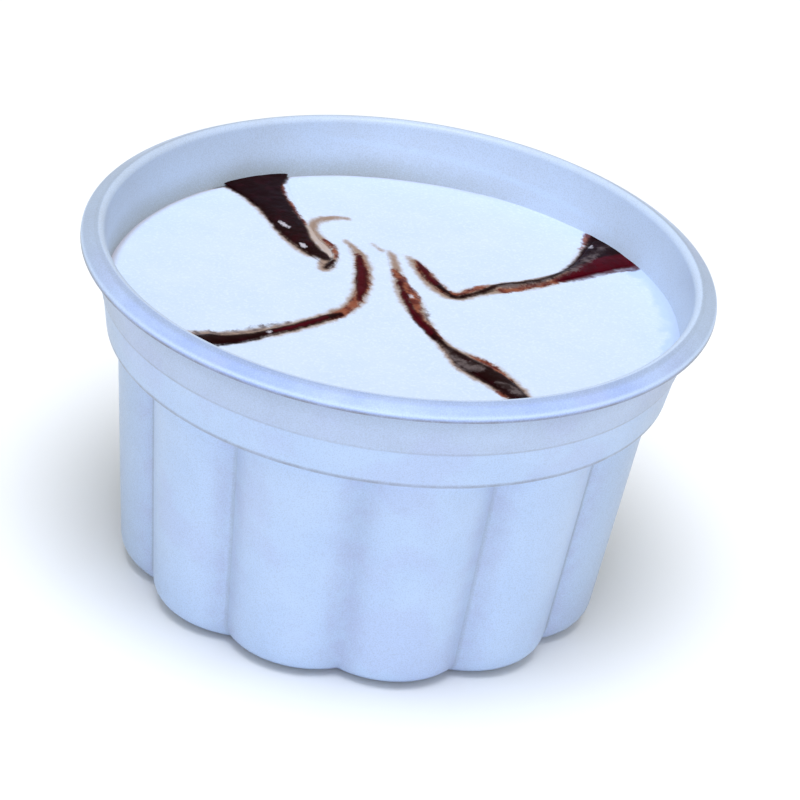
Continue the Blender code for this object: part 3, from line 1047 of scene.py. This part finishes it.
def plastic_tone(tree, grain, cup):
    """The plastic's tone in soft clouds, with painted shade greyer where empty, bluest at the rim's front
    and lilac near the creases, and painted light inside.
    """
    # Painted shade: greyer and darker above the gelato's level.
    empty = add_range(tree, cup["level"], LEDGE_Z - 0.0006, LEDGE_Z + 0.0003, 0, 1, soft=True)
    tone = add_mix(tree, empty, CUP_FILLED, CUP_EMPTY_SHADE)
    # Painted light: the inner wall is paler and less blue.
    tone = add_mix(tree, cup["inside"], tone, CUP_INSIDE_LIT)
    # Painted shade: the rim's front is darker and bluer.
    rim = add_range(tree, cup["height"], LIP_EDGE_Z - 0.0002, LIP_EDGE_Z + 0.0002, 0, RIM_FRONT_SHADE)
    front = add_facing(tree, cup["place"], 0.0, -1.0, 0.1, 0.95)
    tone = add_mix(tree, add_product(tree, rim, front, cup["outside"]), tone, CUP_RIM_FRONT_SHADE)
    tone = add_mix(tree, add_range(tree, cup["cloud"], 0.35, 0.65, 0, CLOUD_MILK), tone, CUP_MILK_AND_PAINTED_LIGHT)
    tone = add_mix(tree, add_range(tree, cup["blotch"], 0.5, 0.75, 0, BLOTCH_SHADE), tone, CUP_SHADE)
    smudge = add_range(tree, add_grain(tree, grain, SMUDGE_SIZE, 4.0), 0.5, 0.62, 0, SMUDGE_LILAC, soft=True)
    tone = add_mix(tree, add_product(tree, smudge, cup["outside"]), tone, CUP_LILAC_AND_SHADE)
    # Painted shade: a lilac darkening near the creases.
    crease_shade_tint = add_product(
        tree,
        add_range(tree, cup["fold"], 0, CREASE_LILAC_SHADE_WIDTH, CREASE_LILAC_SHADE, 0, soft=True),
        cup["body"],
        add_range(tree, cup["blotch"], 0.4, 0.62, 0.2, 1),
        cup["outside"],
    )
    return add_mix(tree, crease_shade_tint, tone, CUP_LILAC_AND_SHADE)


def outside_shade(tree, cup):
    """Soft shade in the creases, under the collar and the lip, round the foot and at the left and right."""
    height, fold, sides = cup["height"], cup["fold"], cup["sides"]
    creases = add_product(
        tree,
        add_range(tree, fold, *CREASE_LINE, CREASE_SHADE, 0, soft=True),
        add_range(tree, sides, 0.2, 0.75, 0.3, 1),
    )
    halo = add_range(tree, fold, 0, CREASE_HALO_WIDTH, CREASE_HALO, 0, soft=True)
    creases = add_product(tree, add_strongest(tree, creases, halo), cup["body"])
    drop = (COLLAR_FOOT_Z - UNDER_COLLAR_DROP, COLLAR_FOOT_Z - 0.0005)
    under_collar = add_product(
        tree,
        add_range(tree, height, *drop, 0, UNDER_COLLAR_SHADE, soft=True),
        cup["body"],
        add_range(tree, fold, 0, UNDER_COLLAR_FOLD, 1, 0.35, soft=True),
    )
    under_lip = add_product(
        tree,
        add_range(tree, height, *UNDER_LIP_HEIGHTS, 0.05, UNDER_LIP_SHADE, soft=True),
        add_range(tree, cup["radius"], *UNDER_LIP_RADII, 1, 0),
    )
    low = add_range(tree, height, 0, LOW_SHADE_TOP, LOW_SHADE, 0, soft=True)
    far_sides = add_range(tree, sides, 0.78, 0.98, 0, FAR_SIDE_SHADE, soft=True)
    shade = add_strongest(tree, creases, under_collar, under_lip, low, far_sides)
    return add_product(tree, shade, cup["outside"])


def shadow_lines(tree, cup):
    """Painted shadow: thin dark lines under the collar, along its ledge and at the lip's edge."""
    height = cup["height"]
    foot = add_line(tree, height, COLLAR_FOOT_Z - LINE_DROP, FOOT_LINE_WIDTH, FOOT_SHADOW_LINE)
    ledge = add_product(
        tree,
        add_line(tree, height, LEDGE_Z - LINE_DROP, LEDGE_LINE_WIDTH, 1.0),
        add_range(tree, cup["sides"], 0.1, 0.9, 0.25, 0.6),
    )
    lip_edge = add_product(
        tree,
        add_range(tree, height, *LIP_HEIGHTS, LIP_SHADOW_LINE, 0),
        add_range(tree, cup["radius"], *LIP_RADII, 0, 1),
    )
    return add_product(tree, add_strongest(tree, foot, ledge, lip_edge), cup["outside"], cup["ragged"])


def painted_highlights(tree, cup):
    """Painted highlights: a pale streak inside the far wall, and a gleam along the lip."""
    wall_highlight = add_math(tree, "ADD", cup["height"], add_product(tree, cup["place"]["Right"], WALL_HIGHLIGHT_TILT))
    wall_highlight = add_product(
        tree,
        add_line(tree, wall_highlight, WALL_HIGHLIGHT_HEIGHT, WALL_HIGHLIGHT_WIDTH, WALL_HIGHLIGHT),
        cup["inside"],
        cup["ragged"],
        add_facing(tree, cup["place"], 0.25, 0.97, 0.75, 0.95),
    )
    gleam = add_product(
        tree,
        add_line(tree, cup["height"], GLEAM_HEIGHT, GLEAM_WIDTH, GLEAM_HIGHLIGHT),
        add_range(tree, cup["radius"], *GLEAM_RADII, 0, 1),
    )
    return add_strongest(tree, wall_highlight, gleam)


def cup_material(grain, round_axis):
    """Thin milky plastic, shaded in its folds, with painted shadow on the inner wall just over the gelato.
    """
    material, tree, shader = new_material("cup_plastic", CUP_FILLED, CUP_ROUGHNESS)
    cup = read_cup(tree, grain, round_axis)
    tone = plastic_tone(tree, grain, cup)
    inner_left = add_facing(tree, cup["place"], -1.0, 0.1, 0.2, 1.0)
    inner_left = add_product(tree, cup["inside"], inner_left, INNER_LEFT_SHADE)
    shade = add_strongest(tree, outside_shade(tree, cup), inner_left)
    tone = add_mix(tree, shade, tone, CUP_SHADE)
    # Painted shadow: darker olive grey on the inner wall just over the gelato, most at the back left.
    wall_shadow = add_product(
        tree,
        add_range(tree, cup["level"], FILL_Z, FILL_Z + WALL_SHADOW_HEIGHT, WALL_SHADOW_STRENGTH, 0, soft=True),
        cup["inside"],
        add_facing(tree, cup["place"], -0.75, 0.65, 0.1, 0.85),
    )
    tone = add_mix(tree, wall_shadow, tone, CUP_WALL_SHADOW)
    tone = add_mix(tree, shadow_lines(tree, cup), tone, CUP_SHADOW_LINE)
    # Painted light: the inner wall's right side is paler.
    lit_inner_right = add_facing(tree, cup["place"], 1.0, 0.0, 0.3, 1.0)
    lit_inner_right = add_product(tree, cup["inside"], lit_inner_right, INNER_RIGHT_LIGHT)
    tone = add_mix(tree, lit_inner_right, tone, CUP_MILK_AND_PAINTED_LIGHT)
    tone = add_mix(tree, painted_highlights(tree, cup), tone, CUP_MILK_AND_PAINTED_LIGHT)
    speck = add_grain(tree, grain, SPECK_SIZE, 1.0)
    tone = add_mix(tree, add_range(tree, speck, 0.32, 0.52, SPECKLE, 0), tone, CUP_SHADE)
    tone = add_mix(tree, add_range(tree, speck, 0.5, 0.7, 0, SPECKLE), tone, CUP_MILK_AND_PAINTED_LIGHT)
    tree.links.new(tone, shader.inputs["Base Color"])

    satin = add_grain(tree, grain, SATIN_SIZE, 2.0)
    tree.links.new(add_range(tree, satin, 0.3, 0.7, *SATIN_ROUGHNESS), shader.inputs["Roughness"])
    add_bump(tree, shader, satin, SATIN_DEPTH, 0.35)
    shader.inputs["Specular IOR Level"].default_value = CUP_GLOSS
    return material


def cream_colour(tree, grain, round_axis):
    """Pale gelato in soft clouds, freckled with ice, bluer at the right of its brim, with painted shade
    greying it at the left.
    """
    place = add_place(tree, round_axis)
    cloud = add_grain(tree, grain, GELATO_CLOUD_SIZE, 3.0)
    speck = add_grain(tree, grain, GELATO_SPECK_SIZE, 2.0)
    wander = add_grain(tree, grain, GELATO_WANDER_SIZE, 3.0)
    wander = add_range(tree, wander, 0.2, 0.8, -GELATO_WANDER, GELATO_WANDER)
    cream = add_mix(tree, add_range(tree, cloud, 0.3, 0.7, 0, 1), GELATO_WHITE, GELATO_SHADE)
    cream = add_mix(tree, add_range(tree, speck, 0.5, 0.7, 0, GELATO_ICE_SHARE), cream, GELATO_ICE)
    edge = add_math(tree, "ADD", place["Radius"], wander)
    thin = add_product(
        tree,
        add_range(tree, edge, *THIN_RADII, 0, BRIM_STAIN_AND_SHADE, soft=True),
        add_facing(tree, place, 0.98, 0.1, 0.55, 0.9),
    )
    cream = add_mix(tree, thin, cream, GELATO_THIN)
    # Painted shade: the gelato greys toward the wall at the left and back.
    ring = add_product(
        tree,
        add_range(tree, place["Radius"], *RING_SHADOW_RADII, 0, BRIM_STAIN_AND_SHADE, soft=True),
        add_facing(tree, place, -0.9, 0.25, -0.2, 0.6),
    )
    return add_mix(tree, ring, cream, GELATO_RING_SHADOW)


def lay_ripple(tree, shader, gelato, ripple, dry, wet_through):
    """The ripple's colours over the gelato's, and less rough where the chocolate is thick."""
    colour, wet = add_ripple(tree, ripple, gelato)
    tree.links.new(colour, shader.inputs["Base Color"])
    tree.links.new(add_range(tree, wet, 0, 1, dry, wet_through), shader.inputs["Roughness"])
    shader.inputs["Specular IOR Level"].default_value = RIPPLE_GLOSS


def gelato_material(grain, round_axis, ripple):
    """Pale, finely iced gelato, stained where the chocolate lies."""
    material, tree, shader = new_material("gelato_cream", GELATO_WHITE, DRY_GELATO)
    lay_ripple(tree, shader, cream_colour(tree, grain, round_axis), ripple, DRY_GELATO, WET_GELATO)
    add_bump(tree, shader, add_grain(tree, grain, ICE_PIT_SIZE, 4.0), ICE_PIT_DEPTH, 0.5)
    return material


def chocolate_material(grain, round_axis, ripple):
    """Dark chocolate, least rough where it is thick and paler toward its thin edges."""
    material, tree, shader = new_material("chocolate_ripple", NEAR_BLACK, WET_CHOCOLATE)
    lay_ripple(tree, shader, cream_colour(tree, grain, round_axis), ripple, DRY_CHOCOLATE, WET_CHOCOLATE)
    add_bump(tree, shader, add_grain(tree, grain, RIPPLE_PIT_SIZE, 3.0), RIPPLE_PIT_DEPTH, 0.5)
    return material


def wear(piece, material):
    piece.data.materials.clear()
    piece.data.materials.append(material)


# Setting

FLOOR_SIZE = 4.0
FLOOR_DROP = 0.0002
FLOOR_TONE = (0.98, 0.98, 0.98)
ROOM_COLOUR = (1.0, 0.96, 0.82, 1)
ROOM_STRENGTH = 0.47
AIM = (0, 0, 0.03)
KEY_PLACE = (0.0, -0.45, 2.0)
KEY_SIZE = 1.3
KEY_POWER = 33.0
KEY_COLOUR = (0.88, 0.95, 1.08)
FRONT_PLACE = (0.05, -0.90, 0.22)
FRONT_SIZE = 0.5
FRONT_POWER = 1.7
FRONT_COLOUR = (0.8, 0.9, 1.15)


def add_area_light(name, place, size, power, colour):
    light = bpy.data.lights.new(name, "AREA")
    light.shape = "DISK"
    light.size = size
    light.energy = power
    light.color = colour
    lamp = bpy.data.objects.new(name, light)
    bpy.context.scene.collection.objects.link(lamp)
    lamp.location = place
    lamp.rotation_euler = (Vector(AIM) - Vector(place)).to_track_quat("-Z", "Y").to_euler()


def set_stage():
    deselect_all()
    bpy.ops.mesh.primitive_plane_add(size=FLOOR_SIZE, location=(0, 0, -FLOOR_DROP))
    floor = name_piece("floor")
    bpy.ops.object.transform_apply(location=True, rotation=True, scale=True)
    material, tree, shader = new_material("pale_floor", FLOOR_TONE, 0.9)
    shader.inputs["Specular IOR Level"].default_value = 0.1
    wear(floor, material)
    world = bpy.data.worlds.new("studio")
    world.use_nodes = True
    world.node_tree.nodes["Background"].inputs["Color"].default_value = ROOM_COLOUR
    world.node_tree.nodes["Background"].inputs["Strength"].default_value = ROOM_STRENGTH
    bpy.context.scene.world = world
    add_area_light("key", KEY_PLACE, KEY_SIZE, KEY_POWER, KEY_COLOUR)
    add_area_light("front_fill", FRONT_PLACE, FRONT_SIZE, FRONT_POWER, FRONT_COLOUR)


def place_camera():
    camera_data = bpy.data.cameras.new("camera")
    camera_data.lens = CAMERA_LENS
    camera_data.sensor_width = SENSOR
    camera = bpy.data.objects.new("camera", camera_data)
    camera.location = CAMERA_PLACE
    camera.rotation_euler = CAMERA_TURN
    bpy.context.scene.collection.objects.link(camera)
    bpy.context.scene.camera = camera
    bpy.context.scene.view_settings.view_transform = "Standard"


def main():
    set_stage()
    place_camera()
    grain = grain_group()
    round_axis = place_group()
    ripple = ripple_group(grain)
    cup = model_cup()
    mark_inside(cup)
    wear(cup, cup_material(grain, round_axis))
    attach(cup, "root")
    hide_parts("cup")

    gelato = model_gelato()
    wear(gelato, gelato_material(grain, round_axis, ripple))
    mark_bands(gelato)
    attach(gelato, "root")
    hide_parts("gelato")

    chocolate = chocolate_material(grain, round_axis, ripple)
    for name, stations in ARMS.items():
        arm = model_arm(name, stations)
        wear(arm, chocolate)
        mark_bands(arm)
        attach(arm, "root")
        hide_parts("gelato")


main()
